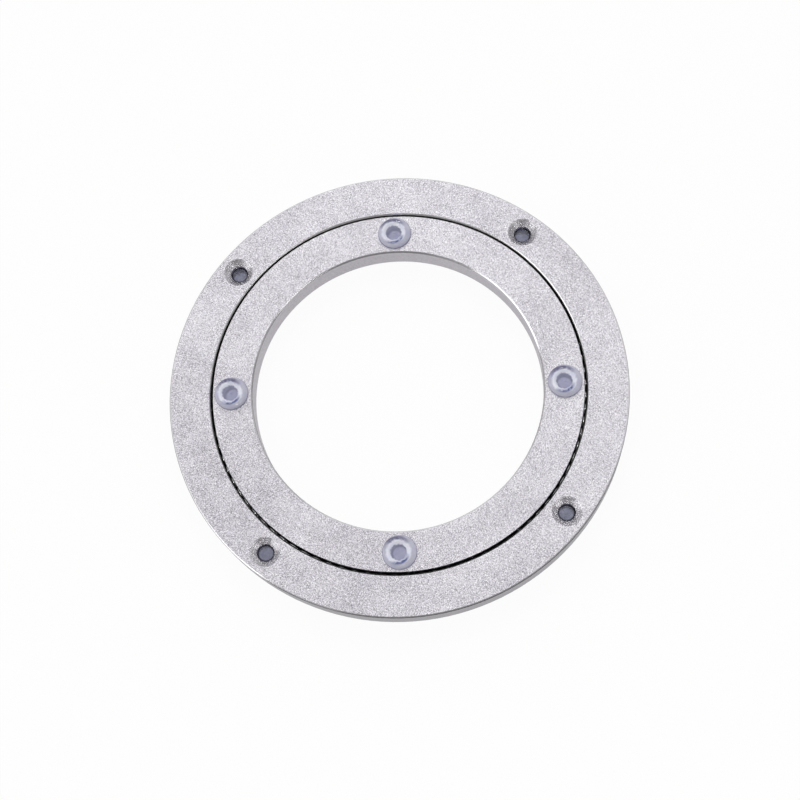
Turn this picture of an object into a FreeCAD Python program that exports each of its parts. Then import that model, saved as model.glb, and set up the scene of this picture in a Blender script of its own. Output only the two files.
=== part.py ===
import FreeCAD, Part
import math
import os
import Sketcher

# Lazy susan bearing: two turned aluminium rings with a full row of steel balls between them.
# It lies as on a bench, on the outer ring's pads, with the screw countersinks and the inner
# ring's pads upwards. Origin: on the rings' axis, at the surface it lies on. +Z is up.
# Lengths are in millimetres, angles in degrees.

# Driving sizes
SIZES = {
    # Ball row and raceways
    "pitch_diameter": 113.9,
    "ball_diameter": 3.969,
    "ball_gap": 0.006,
    "first_ball_angle": 2.2,
    "race_clearance": 0.02,
    # Rings, on either side of the row's pitch circle
    "ring_gap": 0.6,
    "outer_ring_width": 12.75,
    "inner_ring_width": 12.25,
    "outer_ring_thickness": 8.0,
    "inner_ring_thickness": 8.0,
    "edge_break": 0.45,
    "inner_ring_rim_break": 0.15,
    # Stepped holes: countersink, plain screw hole, then a socket for a pad's stem
    "holes_per_ring": 4,
    "rim_to_hole_centre": 6.5,
    "bore_to_hole_centre": 6.35,
    "outer_hole_angle": 45.0,
    "inner_ring_turn": 39.0,
    "screw_hole_diameter": 5.1,
    "screw_hole_length": 1.0,
    "countersink_diameter": 9.0,
    "countersink_angle": 90.0,
    "socket_diameter": 5.6,
    # Silicone pads
    "pad_head_diameter": 10.4,
    "pad_head_height": 1.2,
    "pad_stem_clearance": 0.05,
    "pad_stem_end_gap": 0.1,
    # Grub screw that closes the hole through which the balls are loaded
    "plug_diameter": 5.0,
    "plug_clearance": 0.02,
    "plug_tip_gap": 0.2,
    "plug_recess": 0.3,
    "plug_key_width": 2.5,
    "plug_key_depth": 2.5,
}

# The ball row is kept as this many arcs of separate balls
BALL_SETS = 18
# Each ball has 26 flats, to keep the row light: the width across them, as a share of the diameter
# of the sphere that has the same volume
FLATS_PER_DIAMETER = (math.pi * (1 + math.sqrt(2)) ** 3 / (24 + 20 * math.sqrt(2))) ** (1 / 3)
# The bevel that leaves all flats of a cube equally wide, as a share of the cube
BEVEL_PER_FLATS = (1 - 1 / (1 + math.sqrt(2))) / 2

# Sizes that follow from the driving ones
PITCH_RADIUS = "Sizes.pitch_diameter / 2"
OUTER_RING_WALL = "(Sizes.pitch_diameter + Sizes.ring_gap) / 2"
INNER_RING_WALL = "(Sizes.pitch_diameter - Sizes.ring_gap) / 2"
OUTER_RADIUS = f"({OUTER_RING_WALL} + Sizes.outer_ring_width)"
BORE_RADIUS = f"({INNER_RING_WALL} - Sizes.inner_ring_width)"
OUTER_HOLE_RADIUS = f"({OUTER_RADIUS} - Sizes.rim_to_hole_centre)"
INNER_HOLE_RADIUS = f"({BORE_RADIUS} + Sizes.bore_to_hole_centre)"
OUTER_RING_BOTTOM = "Sizes.pad_head_height"
OUTER_RING_TOP = f"({OUTER_RING_BOTTOM} + Sizes.outer_ring_thickness)"
BALL_HEIGHT = f"({OUTER_RING_BOTTOM} + Sizes.outer_ring_thickness / 2)"
INNER_RING_BOTTOM = f"({BALL_HEIGHT} - Sizes.inner_ring_thickness / 2)"
INNER_RING_TOP = f"({BALL_HEIGHT} + Sizes.inner_ring_thickness / 2)"
BALL_COUNT = "floor(180deg / asin((Sizes.ball_diameter + Sizes.ball_gap) / Sizes.pitch_diameter))"
BALL_FLATS = f"Sizes.ball_diameter * {FLATS_PER_DIAMETER}"
# The raceways are 90 degree vees whose sides stand off the balls by the race clearance: their depth
# from the pitch circle, and half their height there
VEE_DEPTH = "(Sizes.ball_diameter / 2 + Sizes.race_clearance) * sqrt(2)"
COUNTERSINK_WIDTH = "(Sizes.countersink_diameter - Sizes.screw_hole_diameter) / 2"
COUNTERSINK_DEPTH = f"{COUNTERSINK_WIDTH} / tan(Sizes.countersink_angle * 0.5deg)"
OUTER_SOCKET = f"(Sizes.outer_ring_thickness - {COUNTERSINK_DEPTH} - Sizes.screw_hole_length)"
INNER_SOCKET = f"(Sizes.inner_ring_thickness - {COUNTERSINK_DEPTH} - Sizes.screw_hole_length)"
INNER_HOLE_ANGLE = "(Sizes.outer_hole_angle + Sizes.inner_ring_turn)"
# The balls are loaded midway between two screw holes
LOADING_ANGLE = "180 / Sizes.holes_per_ring"
PLUG_TIP_RADIUS = f"({PITCH_RADIUS} + {VEE_DEPTH} + Sizes.plug_tip_gap)"
PLUG_LENGTH = f"({OUTER_RADIUS} - Sizes.plug_recess - {PLUG_TIP_RADIUS})"

os.makedirs("parts", exist_ok=True)
doc = FreeCAD.newDocument("lazy_susan_bearing")
sheet = doc.addObject("Spreadsheet::Sheet", "Sizes")
for row, (name, value) in enumerate(SIZES.items(), start=1):
    sheet.set(f"A{row}", name)
    sheet.set(f"B{row}", str(value))
    sheet.setAlias(f"B{row}", name)
doc.recompute()


def number(expression):
    """What an expression in the driving sizes comes to."""
    return float(sheet.evalExpression(expression))


def origin_part(body, role):
    """The body's own origin plane or axis that has this role."""
    return next(item for item in body.Origin.OriginFeatures if item.Role == role)


def new_body(label):
    body = doc.addObject("PartDesign::Body", label)
    body.Label = label
    return body


def new_sketch(body, name, plane, height="0"):
    """An empty sketch on one of the body's origin planes, shifted along its normal."""
    sketch = body.newObject("Sketcher::SketchObject", name)
    sketch.AttachmentSupport = [(origin_part(body, plane), "")]
    sketch.MapMode = "FlatFace"
    sketch.setExpression("AttachmentOffset.Base.z", height)
    return sketch


def draw_outline(sketch, corners):
    """A closed outline of straight lines whose corners follow expressions."""
    points = [FreeCAD.Vector(number(across), number(up), 0) for across, up in corners]
    for here, there in zip(points, points[1:] + points[:1]):
        sketch.addGeometry(Part.LineSegment(here, there), False)
    for line, (across, up) in enumerate(corners):
        after = (line + 1) % len(corners)
        sketch.addConstraint(Sketcher.Constraint("Coincident", line, 2, after, 1))
        place_point(sketch, (line, 1), "DistanceX", across)
        place_point(sketch, (line, 1), "DistanceY", up)


def draw_circle(sketch, across, up, diameter):
    """A circle whose centre and diameter follow expressions."""
    centre = FreeCAD.Vector(number(across), number(up), 0)
    circle = Part.Circle(centre, FreeCAD.Vector(0, 0, 1), number(diameter) / 2)
    sketch.addGeometry(circle, False)
    place_point(sketch, (0, 3), "DistanceX", across)
    place_point(sketch, (0, 3), "DistanceY", up)
    size = sketch.addConstraint(Sketcher.Constraint("Diameter", 0, number(diameter)))
    sketch.setExpression(f"Constraints[{size}]", diameter)


def place_point(sketch, point, direction, distance):
    """Ties a point's distance from the sketch's origin, one way, to an expression."""
    if distance == "0":
        axis = -2 if direction == "DistanceX" else -1
        sketch.addConstraint(Sketcher.Constraint("PointOnObject", *point, axis))
    else:
        tie = Sketcher.Constraint(direction, -1, 1, *point, number(distance))
        sketch.setExpression(f"Constraints[{sketch.addConstraint(tie)}]", distance)


def revolve(body, kind, name, corners, centre="0"):
    """A Revolution or Groove of an outline, a full turn about the vertical at this distance along X."""
    sketch = new_sketch(body, f"{name}_section", "XZ_Plane")
    sketch.setExpression("AttachmentOffset.Base.x", centre)
    draw_outline(sketch, corners)
    feature = body.newObject(f"PartDesign::{kind}", name)
    feature.Profile = sketch
    feature.ReferenceAxis = (sketch, ["V_Axis"])
    feature.Angle = 360
    doc.recompute()
    return feature


def circular_edges(feature, radius, height):
    """Names of the feature's circular edges about the Z axis at this radius and height."""
    names = []
    for index, edge in enumerate(feature.Shape.Edges, start=1):
        curve = edge.Curve
        if not isinstance(curve, Part.Circle) or abs(curve.Radius - number(radius)) > 1e-6:
            continue
        if curve.Center.distanceToPoint(FreeCAD.Vector(0, 0, number(height))) < 1e-6:
            names.append(f"Edge{index}")
    return names


def turned_ring(body, bore, rim, bottom, top, vee_depth, rim_break):
    """A ring's blank with its raceway and broken edges. The raceway is cut from the pitch circle."""
    revolve(body, "Revolution", "blank", [(bore, bottom), (rim, bottom), (rim, top), (bore, top)])
    vee_corners = [
        (PITCH_RADIUS, f"{BALL_HEIGHT} - {VEE_DEPTH}"),
        (f"{PITCH_RADIUS} + {vee_depth}", BALL_HEIGHT),
        (PITCH_RADIUS, f"{BALL_HEIGHT} + {VEE_DEPTH}"),
    ]
    turned = revolve(body, "Groove", "raceway", vee_corners)
    for name, radius, size in (
        ("bore_edge_break", bore, "Sizes.edge_break"),
        ("rim_edge_break", rim, rim_break),
    ):
        edge_break = body.newObject("PartDesign::Chamfer", name)
        edge_break.Base = (turned, circular_edges(turned, radius, bottom) + circular_edges(turned, radius, top))
        edge_break.setExpression("Size", size)
        doc.recompute()
        turned = edge_break


def stepped_holes(body, hole_radius, countersunk_face, socket_face, socket_depth, countersunk_upwards):
    """Holes for countersunk screws, each with a socket for a pad's stem on the other face."""
    hole_sketch = new_sketch(body, "screw_hole_centre", "XY_Plane", countersunk_face)
    draw_circle(hole_sketch, hole_radius, "0", "Sizes.screw_hole_diameter")
    doc.recompute()
    hole = body.newObject("PartDesign::Hole", "screw_hole")
    hole.Profile = hole_sketch
    doc.recompute()
    hole.Reversed = not countersunk_upwards
    hole.DepthType = "ThroughAll"
    hole.setExpression("Diameter", "Sizes.screw_hole_diameter")
    hole.HoleCutType = "Countersink"
    hole.HoleCutCustomValues = True
    hole.setExpression("HoleCutDiameter", "Sizes.countersink_diameter")
    hole.setExpression("HoleCutCountersinkAngle", "Sizes.countersink_angle")
    doc.recompute()
    socket_sketch = new_sketch(body, "socket_outline", "XY_Plane", socket_face)
    draw_circle(socket_sketch, hole_radius, "0", "Sizes.socket_diameter")
    socket = body.newObject("PartDesign::Pocket", "pad_socket")
    socket.Profile = socket_sketch
    socket.Reversed = countersunk_upwards
    socket.setExpression("Length", socket_depth)
    doc.recompute()
    pattern = body.newObject("PartDesign::PolarPattern", "hole_circle")
    pattern.Originals = [hole, socket]
    pattern.Axis = (origin_part(body, "Z_Axis"), [""])
    pattern.setExpression("Occurrences", "Sizes.holes_per_ring")
    body.Tip = pattern
    doc.recompute()


def loading_hole(body):
    """The radial hole, from the raceway out through the rim, through which the balls go in."""
    sketch = new_sketch(body, "loading_hole_outline", "XZ_Plane")
    sketch.AttachmentOffset = FreeCAD.Placement(
        FreeCAD.Vector(), FreeCAD.Rotation(FreeCAD.Vector(0, 1, 0), 1)
    )
    sketch.setExpression("AttachmentOffset.Rotation.Angle", f"{LOADING_ANGLE} - 90")
    draw_circle(sketch, "0", BALL_HEIGHT, "Sizes.plug_diameter")
    hole = body.newObject("PartDesign::Pocket", "loading_hole")
    hole.Profile = sketch
    hole.Type = "ThroughAll"
    doc.recompute()


def turn_about_axis(body, angle):
    """Turns a body about the rings' axis by an expression in degrees."""
    body.Placement = FreeCAD.Placement(FreeCAD.Vector(), FreeCAD.Rotation(FreeCAD.Vector(0, 0, 1), 1))
    body.setExpression("Placement.Rotation.Angle", angle)


def make_outer_ring():
    body = new_body("outer_ring")
    turned_ring(body, OUTER_RING_WALL, OUTER_RADIUS, OUTER_RING_BOTTOM, OUTER_RING_TOP, VEE_DEPTH,
                "Sizes.edge_break")
    stepped_holes(body, OUTER_HOLE_RADIUS, OUTER_RING_TOP, OUTER_RING_BOTTOM, OUTER_SOCKET, True)
    loading_hole(body)
    turn_about_axis(body, "Sizes.outer_hole_angle")
    return body


def make_inner_ring():
    body = new_body("inner_ring")
    turned_ring(body, BORE_RADIUS, INNER_RING_WALL, INNER_RING_BOTTOM, INNER_RING_TOP, f"-{VEE_DEPTH}",
                "Sizes.inner_ring_rim_break")
    stepped_holes(body, INNER_HOLE_RADIUS, INNER_RING_BOTTOM, INNER_RING_TOP, INNER_SOCKET, False)
    turn_about_axis(body, INNER_HOLE_ANGLE)
    return body


def make_ball_set(number_of_set, first_ball, last_ball):
    """An arc of the ball row: one ball, bevelled from a cube, and its copies at the ball pitch."""
    body = new_body(f"ball_set_{number_of_set:02d}")
    body.AllowCompound = True
    cube = body.newObject("PartDesign::AdditiveBox", "cube")
    for side in ("Length", "Width", "Height"):
        cube.setExpression(side, BALL_FLATS)
    cube.setExpression("Placement.Base.x", f"{PITCH_RADIUS} - {BALL_FLATS} / 2")
    cube.setExpression("Placement.Base.y", f"-{BALL_FLATS} / 2")
    cube.setExpression("Placement.Base.z", f"{BALL_HEIGHT} - {BALL_FLATS} / 2")
    doc.recompute()
    ball = body.newObject("PartDesign::Chamfer", "ball")
    ball.Base = (cube, [f"Edge{index}" for index in range(1, len(cube.Shape.Edges) + 1)])
    ball.setExpression("Size", f"{BALL_FLATS} * {BEVEL_PER_FLATS}")
    arc = body.newObject("PartDesign::PolarPattern", "arc_of_balls")
    arc.TransformMode = "Whole shape"
    arc.Axis = (origin_part(body, "Z_Axis"), [""])
    arc.Mode = "Spacing"
    arc.setExpression("Offset", f"360deg / {BALL_COUNT}")
    arc.Occurrences = last_ball - first_ball
    body.Tip = arc
    doc.recompute()
    turn_about_axis(body, f"Sizes.first_ball_angle + {first_ball} * 360 / {BALL_COUNT}")
    return body


def make_pads(label, hole_radius, angle, head_top, face, stem_end):
    """A ring's silicone pads: each a low head on the ring's face and a stem pushed into its socket."""
    body = new_body(label)
    body.AllowCompound = True
    head_radius = "Sizes.pad_head_diameter / 2"
    stem_radius = "(Sizes.socket_diameter / 2 - Sizes.pad_stem_clearance)"
    corners = [
        ("0", head_top),
        (head_radius, head_top),
        (head_radius, face),
        (stem_radius, face),
        (stem_radius, stem_end),
        ("0", stem_end),
    ]
    revolve(body, "Revolution", "pad", corners, hole_radius)
    pattern = body.newObject("PartDesign::PolarPattern", "pad_circle")
    pattern.TransformMode = "Whole shape"
    pattern.Axis = (origin_part(body, "Z_Axis"), [""])
    pattern.setExpression("Occurrences", "Sizes.holes_per_ring")
    body.Tip = pattern
    doc.recompute()
    turn_about_axis(body, angle)
    return body


def make_loading_plug():
    """The headless screw in the loading hole, with its key socket in the rim."""
    body = new_body("loading_plug")
    radius = "(Sizes.plug_diameter / 2 - Sizes.plug_clearance)"
    revolve(body, "Revolution", "screw", [("0", "0"), (radius, "0"), (radius, PLUG_LENGTH), ("0", PLUG_LENGTH)])
    sketch = new_sketch(body, "key_outline", "XY_Plane", PLUG_LENGTH)
    hexagon = [f"Sizes.plug_key_width / sqrt(3) * {way}({60 * turn + 30}deg)"
               for turn in range(6) for way in ("cos", "sin")]
    draw_outline(sketch, list(zip(hexagon[0::2], hexagon[1::2])))
    key = body.newObject("PartDesign::Pocket", "key_socket")
    key.Profile = sketch
    key.setExpression("Length", "Sizes.plug_key_depth")
    doc.recompute()
    angle = f"(Sizes.outer_hole_angle + {LOADING_ANGLE})"
    outwards = FreeCAD.Vector(math.cos(math.radians(number(angle))), math.sin(math.radians(number(angle))), 0)
    body.Placement.Rotation = FreeCAD.Rotation(FreeCAD.Vector(0, 0, 1), outwards)
    body.setExpression("Placement.Base.x", f"{PLUG_TIP_RADIUS} * cos({angle} * 1deg)")
    body.setExpression("Placement.Base.y", f"{PLUG_TIP_RADIUS} * sin({angle} * 1deg)")
    body.setExpression("Placement.Base.z", BALL_HEIGHT)
    return body


bodies = [make_outer_ring(), make_inner_ring(), make_loading_plug()]

ball_count = round(number(BALL_COUNT))
for index in range(BALL_SETS):
    first_ball = index * ball_count // BALL_SETS
    last_ball = (index + 1) * ball_count // BALL_SETS
    bodies.append(make_ball_set(index + 1, first_ball, last_ball))

bodies.append(make_pads("outer_pads", OUTER_HOLE_RADIUS, "Sizes.outer_hole_angle", "0",
                        OUTER_RING_BOTTOM, f"{OUTER_RING_BOTTOM} + {OUTER_SOCKET} - Sizes.pad_stem_end_gap"))
bodies.append(make_pads("inner_pads", INNER_HOLE_RADIUS, INNER_HOLE_ANGLE,
                        f"{INNER_RING_TOP} + Sizes.pad_head_height", INNER_RING_TOP,
                        f"{INNER_RING_TOP} - {INNER_SOCKET} + Sizes.pad_stem_end_gap"))

doc.recompute()
for item in doc.Objects:
    if "Invalid" in item.State or "Error" in item.State:
        raise RuntimeError(f"{item.Name} failed: {item.State}")
for body in bodies:
    if body.Shape.isNull() or not body.Shape.isValid():
        raise RuntimeError(f"{body.Label} has no valid shape")
for body in bodies:
    body.Shape.exportStep(f"parts/{body.Label}.step")
    print(f"{body.Label}: {len(body.Shape.Solids)} solids, {body.Shape.Volume:.2f} mm3")
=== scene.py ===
import math

import bmesh
import bpy
from mathutils import Matrix, Vector


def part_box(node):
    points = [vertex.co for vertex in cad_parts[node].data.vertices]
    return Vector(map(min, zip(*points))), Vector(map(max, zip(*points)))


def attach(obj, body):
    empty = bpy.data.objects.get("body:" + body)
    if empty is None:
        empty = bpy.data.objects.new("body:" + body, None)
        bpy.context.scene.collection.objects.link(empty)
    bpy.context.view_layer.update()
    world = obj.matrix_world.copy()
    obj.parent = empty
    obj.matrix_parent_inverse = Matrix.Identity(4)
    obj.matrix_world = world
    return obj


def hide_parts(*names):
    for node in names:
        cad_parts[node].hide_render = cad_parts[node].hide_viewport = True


# Lazy susan bearing: looks, light and camera. Lengths are in metres.
MM = 0.001

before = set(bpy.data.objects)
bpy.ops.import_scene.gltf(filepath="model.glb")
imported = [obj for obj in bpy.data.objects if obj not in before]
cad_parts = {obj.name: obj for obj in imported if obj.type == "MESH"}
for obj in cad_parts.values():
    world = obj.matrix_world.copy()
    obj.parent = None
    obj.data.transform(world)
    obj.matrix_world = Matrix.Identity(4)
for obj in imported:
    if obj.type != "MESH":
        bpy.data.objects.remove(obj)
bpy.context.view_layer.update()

# Sizes repeated from the part's source
PITCH_RADIUS = 56.95 * MM
RIM_RADIUS = 70.0 * MM
BORE_RADIUS = 44.4 * MM
BALL_DIAMETER = 3.969 * MM
BALL_COUNT = 90
BALLS_PER_SET = 5
FIRST_BALL_ANGLE = math.radians(2.2)
OUTER_HOLE_RADIUS = 63.5 * MM
INNER_HOLE_RADIUS = 50.75 * MM
OUTER_HOLE_ANGLE = math.radians(45)
INNER_HOLE_ANGLE = math.radians(84)
HOLES_PER_RING = 4
COUNTERSINK_RADIUS = 4.5 * MM
HOLE_RADIUS = 2.55 * MM
SOCKET_RADIUS = 2.8 * MM
EDGE_BREAK = 0.45 * MM
PAD_HEAD_RADIUS = 5.2 * MM
PAD_HEAD_HEIGHT = 1.2 * MM
PAD_STEM_RADIUS = 2.75 * MM
PLUG_KEY_WIDTH = 2.5 * MM
PLUG_KEY_DEPTH = 2.5 * MM

# Headings from +X that the photo shows as its back and its left
PHOTO_BACK = math.radians(98)
PHOTO_LEFT = math.radians(186)

# How upright a normal is on a level face, and on the walls at most
FACE_LEVEL = 0.95
WALL_LEVEL = 0.3


# Mesh helpers

def new_piece(name, mesh_builder, material, body, slot, *nodes):
    """A mesh object built by mesh_builder, which rides on a body and stands for these nodes."""
    bm = bmesh.new()
    mesh_builder(bm)
    bmesh.ops.remove_doubles(bm, verts=bm.verts, dist=1e-8)
    bmesh.ops.recalc_face_normals(bm, faces=bm.faces)
    mesh = bpy.data.meshes.new(name)
    bm.to_mesh(mesh)
    bm.free()
    piece = bpy.data.objects.new(name, mesh)
    bpy.context.scene.collection.objects.link(piece)
    mesh.materials.append(material)
    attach(piece, body)
    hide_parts(*nodes)
    return piece


def shade(piece, angle):
    """Smooth shading, with edges sharper than this angle kept crisp."""
    piece.data.shade_smooth()
    piece.data.set_sharp_from_angle(angle=angle)


def around(radius, angle, height=0.0):
    return Vector((radius * math.cos(angle), radius * math.sin(angle), height))


def turned(bm, profile, place, segments):
    """Turns a profile of (radius, height) points about the vertical through place. Radius 0 closes an end."""
    rows = []
    for radius, height in profile:
        if radius == 0:
            rows.append([bm.verts.new(place + Vector((0, 0, height)))])
            continue
        ring = []
        for step in range(segments):
            ring.append(bm.verts.new(place + around(radius, 2 * math.pi * step / segments, height)))
        rows.append(ring)
    for low, high in zip(rows, rows[1:]):
        for step in range(segments):
            corners = []
            for row, index in ((low, step), (low, step + 1), (high, step + 1), (high, step)):
                vertex = row[index % len(row)]
                if vertex not in corners:
                    corners.append(vertex)
            bm.faces.new(corners)


# Material helpers

class Nodes:
    """A material's node tree, with short calls for its common nodes."""

    def __init__(self, name):
        self.material = bpy.data.materials.new(name)
        self.material.use_nodes = True
        self.tree = self.material.node_tree
        self.tree.nodes.clear()
        self.output = self.tree.nodes.new("ShaderNodeOutputMaterial")
        self.shader = self.tree.nodes.new("ShaderNodeBsdfPrincipled")
        self.link(self.shader.outputs["BSDF"], self.output.inputs["Surface"])

    def link(self, source, target):
        self.tree.links.new(source, target)

    def put(self, value, target):
        if isinstance(value, bpy.types.NodeSocket):
            self.link(value, target)
        else:
            target.default_value = value

    def node(self, kind, **settings):
        made = self.tree.nodes.new(kind)
        for name, value in settings.items():
            setattr(made, name, value)
        return made

    def coordinates(self):
        return self.node("ShaderNodeTexCoord").outputs["Object"]

    def math(self, operation, first, second=0.0):
        made = self.node("ShaderNodeMath", operation=operation)
        self.put(first, made.inputs[0])
        self.put(second, made.inputs[1])
        return made.outputs[0]

    def separate(self, vector):
        made = self.node("ShaderNodeSeparateXYZ")
        self.put(vector, made.inputs[0])
        return made.outputs["X"], made.outputs["Y"], made.outputs["Z"]

    def combine(self, x, y, z):
        made = self.node("ShaderNodeCombineXYZ")
        for value, target in zip((x, y, z), made.inputs):
            self.put(value, target)
        return made.outputs[0]

    def turn_about_z(self, vector, angle):
        made = self.node("ShaderNodeVectorRotate", rotation_type="Z_AXIS")
        self.put(vector, made.inputs["Vector"])
        made.inputs["Angle"].default_value = angle
        return made.outputs[0]

    def noise(self, vector, scale, detail=2.0, roughness=0.5):
        made = self.node("ShaderNodeTexNoise")
        self.put(vector, made.inputs["Vector"])
        made.inputs["Scale"].default_value = scale
        made.inputs["Detail"].default_value = detail
        made.inputs["Roughness"].default_value = roughness
        return made.outputs["Fac"]

    def cells(self, vector, scale):
        """A random number from 0 to 1 for each small cell."""
        made = self.node("ShaderNodeTexVoronoi")
        self.put(vector, made.inputs["Vector"])
        made.inputs["Scale"].default_value = scale
        red, _, _ = self.separate(made.outputs["Color"])
        return red

    def from_hole(self, place, hole_radius, hole_angle, heading=0.0):
        """How far a place is from the axis of a ring's nearest hole, and the share of that along a heading.

        The share goes from -1, straight against the heading, to 1.
        """
        held_x, held_y, _ = self.separate(self.turn_about_z(place, math.pi / 4 - hole_angle))
        centre = hole_radius / math.sqrt(2)
        off_x = self.math("SUBTRACT", held_x, self.math("MULTIPLY", self.math("SIGN", held_x), centre))
        off_y = self.math("SUBTRACT", held_y, self.math("MULTIPLY", self.math("SIGN", held_y), centre))
        squares = self.math("ADD", self.math("MULTIPLY", off_x, off_x), self.math("MULTIPLY", off_y, off_y))
        distance = self.math("SQRT", squares)
        held_heading = heading + math.pi / 4 - hole_angle
        along = self.math("ADD", self.math("MULTIPLY", off_x, math.cos(held_heading)),
                          self.math("MULTIPLY", off_y, math.sin(held_heading)))
        return distance, self.math("DIVIDE", along, self.math("MAXIMUM", distance, 0.1 * MM))

    def band(self, value, rise_start, rise_end, fall_start, fall_end):
        """1 between rise_end and fall_start, and 0 outside rise_start and fall_end."""
        rise = self.remap(value, rise_start, rise_end, 0.0, 1.0)
        return self.math("MULTIPLY", rise, self.remap(value, fall_start, fall_end, 1.0, 0.0))

    def remap(self, value, low, high, to_low, to_high):
        made = self.node("ShaderNodeMapRange")
        self.put(value, made.inputs["Value"])
        for name, number in zip(("From Min", "From Max", "To Min", "To Max"), (low, high, to_low, to_high)):
            made.inputs[name].default_value = number
        return made.outputs["Result"]

    def mix(self, factor, first, second):
        """A mix of two numbers."""
        made = self.node("ShaderNodeMix", data_type="FLOAT")
        self.put(factor, made.inputs[0])
        self.put(first, made.inputs[2])
        self.put(second, made.inputs[3])
        return made.outputs[0]

    def mix_colour(self, factor, first, second, blend="MIX"):
        made = self.node("ShaderNodeMix", data_type="RGBA", blend_type=blend)
        self.put(factor, made.inputs[0])
        self.put(first, made.inputs[6])
        self.put(second, made.inputs[7])
        return made.outputs[2]

    def bump(self, height, strength, distance, normal=None):
        made = self.node("ShaderNodeBump")
        self.put(height, made.inputs["Height"])
        self.put(strength, made.inputs["Strength"])
        made.inputs["Distance"].default_value = distance
        if normal is not None:
            self.link(normal, made.inputs["Normal"])
        return made.outputs["Normal"]


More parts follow.
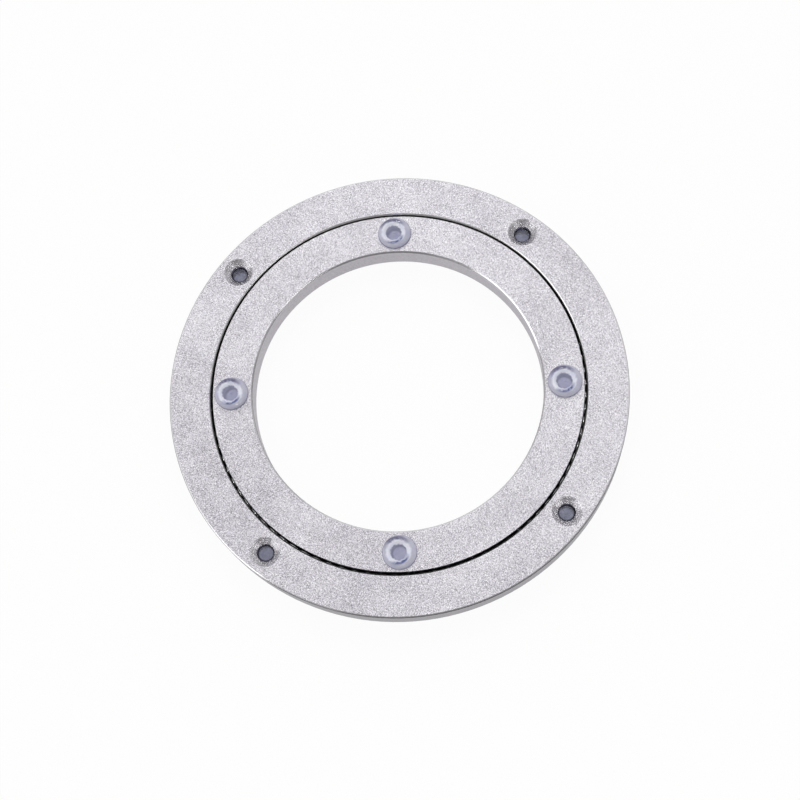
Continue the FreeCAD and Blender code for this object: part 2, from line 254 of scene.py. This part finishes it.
def ring_material(name, shaded_wall_colour, hole_radius, hole_angle, wall_low, wall_high):
    """Blasted and anodised aluminium, with bare cut metal in the holes and a greased raceway. Painted shade
    darkens the walls, the arris, the foot of each hole, the sockets and the gap.

    wall_low and wall_high are the heights between which the ring's walls run straight.
    """
    n = Nodes(name)
    place = n.coordinates()
    x, y, z = n.separate(place)
    hole_distance, _ = n.from_hole(place, hole_radius, hole_angle)
    _, _, slope = n.separate(n.node("ShaderNodeNewGeometry").outputs["True Normal"])
    level = n.math("ABSOLUTE", slope)
    is_face = n.math("GREATER_THAN", level, FACE_LEVEL)
    is_wall = n.math("LESS_THAN", level, WALL_LEVEL)
    not_face = n.math("SUBTRACT", 1.0, is_face)
    near_hole = n.math("LESS_THAN", hole_distance, COUNTERSINK_RADIUS + 0.02 * MM)
    in_hole = n.math("MULTIPLY", near_hole, not_face)
    sloping = n.math("MULTIPLY", n.math("SUBTRACT", 1.0, is_wall), not_face)
    on_edge = n.math("MULTIPLY", sloping, n.math("SUBTRACT", 1.0, near_hole))
    from_axis = n.math("SQRT", n.math("ADD", n.math("MULTIPLY", x, x), n.math("MULTIPLY", y, y)))
    from_row = n.math("ABSOLUTE", n.math("SUBTRACT", from_axis, PITCH_RADIUS))
    near_row = n.math("LESS_THAN", from_row, 2.5 * MM)
    at_seam = n.math("LESS_THAN", from_row, 1.5 * MM)
    between = n.math("MULTIPLY", n.math("GREATER_THAN", z, wall_low), n.math("LESS_THAN", z, wall_high))
    in_raceway = n.math("MULTIPLY", n.math("MULTIPLY", near_row, between), not_face)
    # The inner ring's walls and arris at the seam get the same near-black paint: painted shade in the gap
    inside_row = n.math("MULTIPLY", n.math("LESS_THAN", from_axis, PITCH_RADIUS), at_seam)
    in_raceway = n.math("MAXIMUM", in_raceway, n.math("MULTIPLY", inside_row, not_face))

    # Blasted grain, and a slow unevenness of the anodising
    grain = n.noise(place, 4600, 1.5, 0.6)
    fine_grain = n.cells(place, 8500)
    cloud = n.noise(place, 130, 1.0, 0.5)
    drift = n.noise(place, 24, 2.0, 0.5)
    tone = n.math("ADD", n.remap(grain, 0.3, 0.7, -0.14, 0.14),
                  n.remap(fine_grain, 0.0, 1.0, -0.78, 0.78))
    tone = n.math("ADD", tone, n.remap(cloud, 0.3, 0.7, -0.08, 0.08))
    tone = n.math("ADD", tone, n.remap(drift, 0.35, 0.65, -0.07, 0.07))
    # Turning has left fine lines round the walls
    turned_lines = n.noise(n.combine(from_axis, 0.0, z), 2600, 3.0, 0.7)
    line_tone = n.math("MULTIPLY", n.remap(turned_lines, 0.3, 0.7, -0.10, 0.10), not_face)
    tone = n.math("ADD", n.math("MULTIPLY", tone, n.mix(is_face, 0.35, 1.0)), line_tone)
    tone = n.math("ADD", 1.0, tone)
    tone_colour = n.combine(tone, tone, tone)
    # Painted shade: the walls are painted darker than the faces, though their finish is the same
    plain = n.mix_colour(is_face, shaded_wall_colour, (0.634, 0.611, 0.664, 1.0))
    blasted = n.mix_colour(1.0, plain, tone_colour, "MULTIPLY")
    polished = n.mix_colour(grain, (0.60, 0.59, 0.61, 1.0), (0.78, 0.765, 0.785, 1.0))
    dulled = n.mix_colour(grain, (0.70, 0.685, 0.70, 1.0), (0.96, 0.95, 0.96, 1.0))
    edge = n.mix_colour(at_seam, polished, dulled)
    # The arris itself is painted dark: a painted shade line along the rim and the bore
    shaded_arris = n.math("MAXIMUM", n.math("GREATER_THAN", from_axis, RIM_RADIUS - 0.18 * MM),
                   n.math("LESS_THAN", from_axis, BORE_RADIUS + 0.08 * MM))
    edge = n.mix_colour(shaded_arris, edge, (0.26, 0.25, 0.265, 1.0))
    blasted = n.mix_colour(on_edge, blasted, edge)

    # Turned rings in the countersinks, and the raceway and the gap's walls painted near black: grease, and
    # painted shade in the narrow gap
    line_pitch = 0.16 * MM
    cut_lines = n.math("SINE", n.math("MULTIPLY", hole_distance, 2 * math.pi / line_pitch))
    patches = n.noise(place, 1700, 3.0, 0.6)
    cut_rings = n.noise(n.combine(hole_distance, 0.0, 0.0), 5200, 2.0, 0.6)
    cut_tone = n.mix(0.55, patches, cut_rings)
    cut_tone = n.remap(cut_tone, 0.4, 0.62, 0.0, 1.0)
    bare = n.mix_colour(cut_tone, (0.50, 0.48, 0.50, 1.0), (0.90, 0.89, 0.93, 1.0))
    # The foot of each countersink, where it meets the hole, is painted dark: painted shade
    above_foot = n.remap(hole_distance, HOLE_RADIUS + 0.06 * MM, HOLE_RADIUS + 0.18 * MM, 0.0, 1.0)
    bare = n.mix_colour(n.math("MAXIMUM", above_foot, is_wall), (0.075, 0.075, 0.085, 1.0), bare)
    grease_and_gap_shade = n.mix_colour(patches, (0.015, 0.0145, 0.0145, 1.0), (0.045, 0.043, 0.042, 1.0))
    # The socket's wall round the stem is painted dark: painted shade between ring and stem
    in_socket = n.math("MULTIPLY", is_wall,
                       n.band(hole_distance, HOLE_RADIUS + 0.05 * MM, HOLE_RADIUS + 0.1 * MM,
                              SOCKET_RADIUS + 0.05 * MM, SOCKET_RADIUS + 0.1 * MM))
    bare = n.mix_colour(in_socket, bare, (0.20, 0.20, 0.21, 1.0))
    dressed = n.mix_colour(in_raceway, n.mix_colour(in_hole, blasted, bare), grease_and_gap_shade)
    n.link(dressed, n.shader.inputs["Base Color"])
    n.shader.inputs["Metallic"].default_value = 1.0

    edge_rough = n.mix(at_seam, n.remap(grain, 0.3, 0.7, 0.12, 0.2), 0.24)
    rough = n.mix(on_edge, n.remap(cloud, 0.3, 0.7, 0.50, 0.56), edge_rough)
    rough = n.mix(in_hole, rough, n.remap(patches, 0.3, 0.7, 0.2, 0.34))
    n.link(rough, n.shader.inputs["Roughness"])

    grain_height = n.math("ADD", grain, n.math("MULTIPLY", fine_grain, 0.5))
    line_share = n.mix(is_face, 3.0, 0.0)
    grain_height = n.math("ADD", grain_height, n.math("MULTIPLY", turned_lines, line_share))
    grain_strength = n.math("MULTIPLY", n.mix(is_face, 0.10, 0.35), n.math("SUBTRACT", 1.0, in_hole))
    grain_normal = n.bump(grain_height, grain_strength, 0.05 * MM)
    line_height = n.math("ADD", cut_lines, n.math("MULTIPLY", patches, 2.0))
    normal = n.bump(line_height, n.math("MULTIPLY", in_hole, 0.35), 0.02 * MM, grain_normal)
    n.link(normal, n.shader.inputs["Normal"])
    return n.material


def silicone_material(name, hole_radius, hole_angle, lower_face, upper_face):
    """Clear, violet-tinged silicone.

    The stems, between the rings' two faces, are painted dark and darkest at their rims: painted shade. The
    tints of the heads' zones are painted light and shade, standing in for what clear pads bend into view from
    round about.
    """
    n = Nodes(name)
    place = n.coordinates()
    _, _, z = n.separate(place)
    cloud = n.noise(place, 420, 3.0, 0.6)
    patch = n.remap(cloud, 0.3, 0.7, 0.0, 1.0)
    hole_distance, towards_back = n.from_hole(place, hole_radius, hole_angle, PHOTO_BACK)
    _, towards_left = n.from_hole(place, hole_radius, hole_angle, PHOTO_LEFT)
    ripple = n.noise(place, 1100, 3.0, 0.6)
    wavy = n.math("ADD", hole_distance, n.remap(ripple, 0.3, 0.7, -0.2 * MM, 0.2 * MM))
    # The zones of painted light and shade lie a little to one side
    lopsided = n.math("SUBTRACT", wavy, n.math("MULTIPLY", towards_left, 0.3 * MM))
    leaning = n.math("SUBTRACT", wavy, n.math("MULTIPLY", towards_left, 0.6 * MM))
    on_crest = n.remap(lopsided, 2.2 * MM, 2.65 * MM, 0.0, 1.0)
    on_shoulder = n.remap(lopsided, 3.4 * MM, 4.0 * MM, 0.0, 1.0)
    # Painted light and shade: a dim blue disc, a pale crest and a lavender shoulder
    disc = n.mix_colour(patch, (0.50, 0.51, 0.76, 1.0), (0.64, 0.65, 0.87, 1.0))
    crest = n.mix_colour(patch, (0.82, 0.83, 0.985, 1.0), (0.93, 0.94, 1.0, 1.0))
    shoulder = n.mix_colour(patch, (0.76, 0.76, 0.95, 1.0), (0.90, 0.90, 1.0, 1.0))
    clear = n.mix_colour(on_shoulder, n.mix_colour(on_crest, disc, crest), shoulder)
    # Painted shade: the slopes that fall away to the back are painted dark violet, and the front of the crest
    # dark blue
    back_shoulder_shade = n.math("MULTIPLY", n.band(leaning, 3.4 * MM, 4.0 * MM, 4.6 * MM, 5.1 * MM),
                           n.remap(towards_back, 0.45, 0.9, 0.0, 1.0))
    front_crest_shade = n.math("MULTIPLY", n.band(leaning, 2.5 * MM, 3.0 * MM, 3.5 * MM, 3.9 * MM),
                         n.remap(towards_back, -0.4, -0.9, 0.0, 1.0))
    broken = n.remap(ripple, 0.3, 0.55, 0.55, 1.0)
    clear = n.mix_colour(n.math("MULTIPLY", back_shoulder_shade, broken), clear, (0.22, 0.21, 0.36, 1.0))
    rim_shade = n.remap(hole_distance, 4.95 * MM, 5.1 * MM, 0.0, 0.55)
    clear = n.mix_colour(rim_shade, clear, (0.33, 0.33, 0.46, 1.0))
    clear = n.mix_colour(n.math("MULTIPLY", front_crest_shade, broken), clear, (0.10, 0.12, 0.30, 1.0))
    streak = n.remap(ripple, 0.3, 0.7, 0.0, 1.0)
    # Painted shade: the stems are painted dark grey-blue, for the hole they sit in
    stem_shade = n.mix_colour(streak, (0.11, 0.11, 0.16, 1.0), (0.24, 0.245, 0.31, 1.0))
    # The stem's rim is painted dark, a painted shade, more at the front, so the clear part of its end lies a
    # little to the back
    stem_distance = n.math("SUBTRACT", hole_distance, n.math("MULTIPLY", towards_back, 0.2 * MM))
    stem_rim_shade = n.remap(stem_distance, 2.05 * MM, 2.2 * MM, 0.0, 1.0)
    stem_shade = n.mix_colour(stem_rim_shade, stem_shade, (0.012, 0.012, 0.02, 1.0))
    on_stem = n.math("MULTIPLY", n.math("GREATER_THAN", z, lower_face + 0.05 * MM),
                     n.math("LESS_THAN", z, upper_face - 0.05 * MM))
    n.link(n.mix_colour(on_stem, clear, stem_shade), n.shader.inputs["Base Color"])
    n.link(n.remap(cloud, 0.3, 0.7, 0.05, 0.12), n.shader.inputs["Roughness"])
    n.shader.inputs["IOR"].default_value = 1.41
    clearness = n.mix(on_shoulder, n.mix(on_crest, 0.66, 0.12), 0.5)
    n.link(clearness, n.shader.inputs["Transmission Weight"])
    skin = n.noise(place, 1500, 2.0, 0.5)
    n.link(n.bump(skin, 0.12, 0.02 * MM), n.shader.inputs["Normal"])
    return n.material


def ball_material():
    """Polished bearing steel with a film of grease, painted dark: grease, and painted shade for the narrow gap
    the balls sit in.
    """
    n = Nodes("ball_steel_polished")
    place = n.coordinates()
    haze = n.noise(place, 700, 2.0, 0.5)
    # Grease and painted shade: the steel is painted dark so that the balls stay dark in the gap
    steel = n.mix_colour(haze, (0.24, 0.24, 0.245, 1.0), (0.34, 0.34, 0.345, 1.0))
    n.link(steel, n.shader.inputs["Base Color"])
    n.shader.inputs["Metallic"].default_value = 1.0
    n.link(n.remap(haze, 0.3, 0.7, 0.05, 0.10), n.shader.inputs["Roughness"])
    return n.material


def plug_material():
    """Zinc-plated screw steel."""
    n = Nodes("plug_steel_plated")
    place = n.coordinates()
    wear = n.noise(place, 1300, 3.0, 0.6)
    zinc = n.mix_colour(wear, (0.42, 0.42, 0.43, 1.0), (0.60, 0.60, 0.62, 1.0))
    n.link(zinc, n.shader.inputs["Base Color"])
    n.shader.inputs["Metallic"].default_value = 1.0
    n.link(n.remap(wear, 0.3, 0.7, 0.26, 0.42), n.shader.inputs["Roughness"])
    n.link(n.bump(wear, 0.15, 0.02 * MM), n.shader.inputs["Normal"])
    return n.material


# Rings: the solids as they are

for node, shaded_wall_colour, hole_radius, hole_angle in (
    ("outer_ring", (0.365, 0.353, 0.375, 1.0), OUTER_HOLE_RADIUS, OUTER_HOLE_ANGLE),
    ("inner_ring", (0.480, 0.460, 0.492, 1.0), INNER_HOLE_RADIUS, INNER_HOLE_ANGLE),
):
    ring_low, ring_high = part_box(node)
    material = ring_material(f"{node}_blasted", shaded_wall_colour, hole_radius, hole_angle,
                             ring_low.z + EDGE_BREAK, ring_high.z - EDGE_BREAK)
    for material_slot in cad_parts[node].material_slots:
        material_slot.material = material


# Balls: round ones in place of the solids with flats

ball_steel = ball_material()
ball_low, ball_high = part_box("ball_set_01")
ball_height = (ball_low.z + ball_high.z) / 2
for set_index in range(BALL_COUNT // BALLS_PER_SET):
    node = f"ball_set_{set_index + 1:02d}"

    def build_balls(bm):
        for index in range(set_index * BALLS_PER_SET, (set_index + 1) * BALLS_PER_SET):
            angle = FIRST_BALL_ANGLE + 2 * math.pi * index / BALL_COUNT
            lay = Matrix.Translation(around(PITCH_RADIUS, angle, ball_height))
            bmesh.ops.create_icosphere(bm, subdivisions=3, radius=BALL_DIAMETER / 2, matrix=lay)

    balls = new_piece(f"balls_{set_index + 1:02d}", build_balls, ball_steel, "ball_row", "ball_steel", node)
    shade(balls, math.pi)


# Pads: a moulded head with rounded shoulders, and a stem with a bevelled end

def pad_profile(head_height, stem_length):
    """From the middle of the head's dish round to the stem's end, as (radius, height over the ring's face)."""
    dish_radius = 2.25 * MM
    dish_height = head_height - 0.5 * MM
    crest_radius = 3.6 * MM
    edge_height = 0.16 * MM
    # The head stands off its ring by a hair
    stand_off = 0.01 * MM
    # The mark of the mould's gate stands in the middle of the dish
    gate_radius = 0.28 * MM
    gate_height = dish_height + 0.07 * MM
    points = [
        (0.0, gate_height),
        (gate_radius, gate_height),
        (gate_radius + 0.06 * MM, dish_height + 0.05 * MM),
        (gate_radius + 0.1 * MM, dish_height),
        (dish_radius / 2, dish_height),
        (dish_radius, dish_height),
    ]
    steps = 12
    for step in range(1, steps + 1):
        share = step / steps
        rise = (1 - math.cos(math.pi * share)) / 2
        radius = dish_radius + (crest_radius - dish_radius) * share
        points.append((radius, dish_height + (head_height - dish_height) * rise))
    for step in range(1, steps + 1):
        angle = math.pi / 2 * step / steps
        radius = crest_radius + (PAD_HEAD_RADIUS - crest_radius) * math.sin(angle)
        height = edge_height + (head_height - edge_height) * math.cos(angle)
        points.append((radius, height))
    bevel = 0.55 * MM
    points += [
        (PAD_HEAD_RADIUS, 0.05 * MM),
        (PAD_HEAD_RADIUS - 0.05 * MM, stand_off),
        (PAD_STEM_RADIUS + 0.15 * MM, stand_off),
        (PAD_STEM_RADIUS, -0.1 * MM),
        (PAD_STEM_RADIUS, bevel - stem_length),
    ]
    bevel_steps = 4
    for step in range(1, bevel_steps + 1):
        angle = math.pi / 2 * step / bevel_steps
        radius = PAD_STEM_RADIUS - bevel * (1 - math.cos(angle))
        points.append((radius, bevel * (1 - math.sin(angle)) - stem_length))
    points.append((0.0, -stem_length))
    return points


ring_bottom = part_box("outer_ring")[0].z
ring_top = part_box("inner_ring")[1].z
for node, body, hole_radius, hole_angle, upwards in (
    ("outer_pads", "outer", OUTER_HOLE_RADIUS, OUTER_HOLE_ANGLE, False),
    ("inner_pads", "inner", INNER_HOLE_RADIUS, INNER_HOLE_ANGLE, True),
):
    low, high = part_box(node)
    stem_length = high.z - low.z - PAD_HEAD_HEIGHT
    face = high.z - PAD_HEAD_HEIGHT if upwards else low.z + PAD_HEAD_HEIGHT
    profile = pad_profile(PAD_HEAD_HEIGHT, stem_length)
    if not upwards:
        profile = [(radius, -height) for radius, height in profile]

    def build_pads(bm):
        for index in range(HOLES_PER_RING):
            place = around(hole_radius, hole_angle + 2 * math.pi * index / HOLES_PER_RING, face)
            turned(bm, profile, place, 72)

    piece_name = node.replace("pads", "silicone_pads")
    silicone = silicone_material(f"{piece_name}_clear", hole_radius, hole_angle, ring_bottom, ring_top)
    pads = new_piece(piece_name, build_pads, silicone, body, "silicone", node)
    shade(pads, math.radians(40))


# Loading plug: a headless screw seen end on in the rim, with a bevelled mouth and a hexagonal key socket

plug_low, plug_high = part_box("loading_plug")
plug_radius = (plug_high.x - plug_low.x) / 2
plug_end = plug_high.y
plug_length = plug_high.y - plug_low.y


def build_plug(bm):
    """Built along +Z from the end in the rim, then laid along -Y."""
    segments = 72
    bevel = 0.35 * MM
    rows = []

    def key_side(angle):
        """From the middle of the hexagonal key socket to its side."""
        sector = (angle + math.pi / 6) % (math.pi / 3) - math.pi / 6
        return PLUG_KEY_WIDTH / 2 / math.cos(sector)

    def ring(radius, depth, is_key=False):
        """A ring of points. For the key's rings, radius is a share of the way to its sides."""
        row = []
        for step in range(segments):
            angle = 2 * math.pi * step / segments
            row.append(bm.verts.new(around(radius * key_side(angle) if is_key else radius, angle, -depth)))
        rows.append(row)

    # The key socket, from the tip of its drilled foot to its bevelled mouth
    ring(0.02, PLUG_KEY_DEPTH + 0.45 * MM, is_key=True)
    ring(0.8, PLUG_KEY_DEPTH, is_key=True)
    ring(1.0, PLUG_KEY_DEPTH, is_key=True)
    ring(1.0, 0.12 * MM, is_key=True)
    ring(1.1, 0.0, is_key=True)
    ring(plug_radius - bevel, 0.0)
    ring(plug_radius, bevel)
    # Thread crests and roots along the length
    pitch = 0.8 * MM
    root_radius = plug_radius - 0.3 * MM
    depth = bevel + pitch / 4
    while depth + pitch < plug_length - bevel:
        ring(plug_radius, depth)
        ring(root_radius, depth + pitch * 0.45)
        ring(root_radius, depth + pitch * 0.55)
        depth += pitch
    ring(plug_radius, depth)
    ring(plug_radius, plug_length - bevel)
    ring(plug_radius - bevel, plug_length)
    for inner, outer in zip(rows, rows[1:]):
        for step in range(segments):
            after = (step + 1) % segments
            bm.faces.new((inner[step], inner[after], outer[after], outer[step]))
    bm.faces.new(rows[0])
    bm.faces.new(list(reversed(rows[-1])))
    end = Matrix.Translation((0, plug_end, (plug_low.z + plug_high.z) / 2))
    bmesh.ops.transform(bm, matrix=end @ Matrix.Rotation(-math.pi / 2, 4, "X"), verts=bm.verts)


plug = new_piece("plug_screw", build_plug, plug_material(), "outer", "plug_steel", "loading_plug")
shade(plug, math.radians(30))


# Floor, light and camera

def floor_material():
    """Matt white paper."""
    n = Nodes("floor_paper")
    place = n.coordinates()
    fibre = n.noise(place, 300, 3.0, 0.6)
    paper = n.mix_colour(fibre, (0.93, 0.93, 0.93, 1.0), (0.95, 0.95, 0.95, 1.0))
    n.link(paper, n.shader.inputs["Base Color"])
    n.shader.inputs["Roughness"].default_value = 1.0
    n.shader.inputs["Specular IOR Level"].default_value = 0.0
    glow = n.node("ShaderNodeEmission")
    glow.inputs["Color"].default_value = (1.0, 1.0, 1.0, 1.0)
    glow.inputs["Strength"].default_value = 1.0
    rays = n.node("ShaderNodeLightPath")
    seen = n.math("MAXIMUM", rays.outputs["Is Camera Ray"],
                  n.math("MAXIMUM", rays.outputs["Is Glossy Ray"], rays.outputs["Is Transmission Ray"]))
    blend = n.node("ShaderNodeMixShader")
    # What is left of the paper itself keeps the object's shadow
    glow_share = 0.93
    n.link(n.math("MULTIPLY", seen, glow_share), blend.inputs[0])
    n.link(n.shader.outputs["BSDF"], blend.inputs[1])
    n.link(glow.outputs[0], blend.inputs[2])
    n.link(blend.outputs[0], n.output.inputs["Surface"])
    return n.material


# The floor turns up a little at its far edges, like a studio sweep
floor_mesh = bpy.data.meshes.new("floor")
corners = ((-1, -1), (1, -1), (1, 1), (-1, 1))
flat_reach, full_reach, edge_rise = 28.0, 30.0, 1.0
floor_points = [(flat_reach * x, flat_reach * y, 0.0) for x, y in corners]
floor_points += [(full_reach * x, full_reach * y, edge_rise) for x, y in corners]
floor_faces = [(0, 1, 2, 3)]
for index in range(4):
    after = (index + 1) % 4
    floor_faces.append((index, after, after + 4, index + 4))
floor_mesh.from_pydata(floor_points, [], floor_faces)
floor = bpy.data.objects.new("floor", floor_mesh)
floor.location.z = -0.0001 * MM
floor_mesh.materials.append(floor_material())
bpy.context.scene.collection.objects.link(floor)

world = bpy.data.worlds.new("studio")
bpy.context.scene.world = world
world.use_nodes = True
# A studio dome, palest high at the back, and dim along the horizon
sky = world.node_tree.nodes["Background"]
direction = world.node_tree.nodes.new("ShaderNodeTexCoord")
towards_top = world.node_tree.nodes.new("ShaderNodeVectorMath")
towards_top.operation = "DOT_PRODUCT"
towards_top.inputs[1].default_value = Vector((0.0, 0.8, 0.6))
dome = world.node_tree.nodes.new("ShaderNodeMapRange")
dome.interpolation_type = "SMOOTHSTEP"
for setting, number in (("From Min", -0.1), ("From Max", 1.0), ("To Min", 0.3), ("To Max", 1.06)):
    dome.inputs[setting].default_value = number
world.node_tree.links.new(direction.outputs["Generated"], towards_top.inputs[0])
world.node_tree.links.new(towards_top.outputs["Value"], dome.inputs["Value"])
world.node_tree.links.new(dome.outputs["Result"], sky.inputs["Strength"])
sky.inputs["Color"].default_value = (1.0, 1.0, 1.0, 1.0)


def area_light(name, azimuth, elevation, distance, width, height, radiance):
    """A soft box that faces the origin, at angles in degrees. Its power follows from its surface's radiance."""
    lamp = bpy.data.lights.new(name, "AREA")
    lamp.shape = "RECTANGLE"
    lamp.size = width
    lamp.size_y = height
    lamp.energy = radiance * math.pi * width * height
    obj = bpy.data.objects.new(name, lamp)
    a = math.radians(azimuth)
    e = math.radians(elevation)
    towards = Vector((math.cos(a) * math.cos(e), math.sin(a) * math.cos(e), math.sin(e)))
    obj.location = towards * distance
    obj.rotation_mode = "QUATERNION"
    obj.rotation_quaternion = towards.to_track_quat("Z", "Y")
    obj.visible_camera = False
    bpy.context.scene.collection.objects.link(obj)


# Low lamps light the edges and walls
area_light("soft_left", 193, 10, 1.2, 1.05, 0.5, 1.9)
area_light("soft_front_left", 232, 14, 1.2, 0.4, 0.3, 0.35)
area_light("soft_right", -16, 15, 1.2, 0.5, 0.2, 0.3)
area_light("small_front_right", -44.9, 19.6, 0.464, 0.24, 0.05, 3.0)
# Small high lamps glint in the balls, down through the gap
area_light("key_high", -85, 78, 1.5, 0.12, 0.12, 36.0)
area_light("key_back", 84, 49, 1.5, 0.12, 0.12, 30.0)
area_light("key_left", 218, 56, 1.4, 0.2, 0.2, 7.0)

camera_data = bpy.data.cameras.new("camera")
camera_data.sensor_width = 36.0
camera_data.lens = 64.738
camera_data.clip_start = 0.01
camera_data.clip_end = 80.0
camera = bpy.data.objects.new("camera", camera_data)
bpy.context.scene.collection.objects.link(camera)
# The camera's place and turn were fitted to the photo
right = Vector((0.990041, -0.119855, -0.073846))
up = Vector((0.136521, 0.945431, 0.295840))
back = right.cross(up).normalized()
up = back.cross(right).normalized()
right = up.cross(back).normalized()
turn = Matrix((right, up, back)).transposed()
stand = Matrix.Translation((15.356 * MM, -135.933 * MM, 423.743 * MM))
camera.matrix_world = stand @ turn.to_4x4()
bpy.context.scene.camera = camera

bpy.context.scene.view_settings.view_transform = "Standard"

bpy.context.view_layer.update()
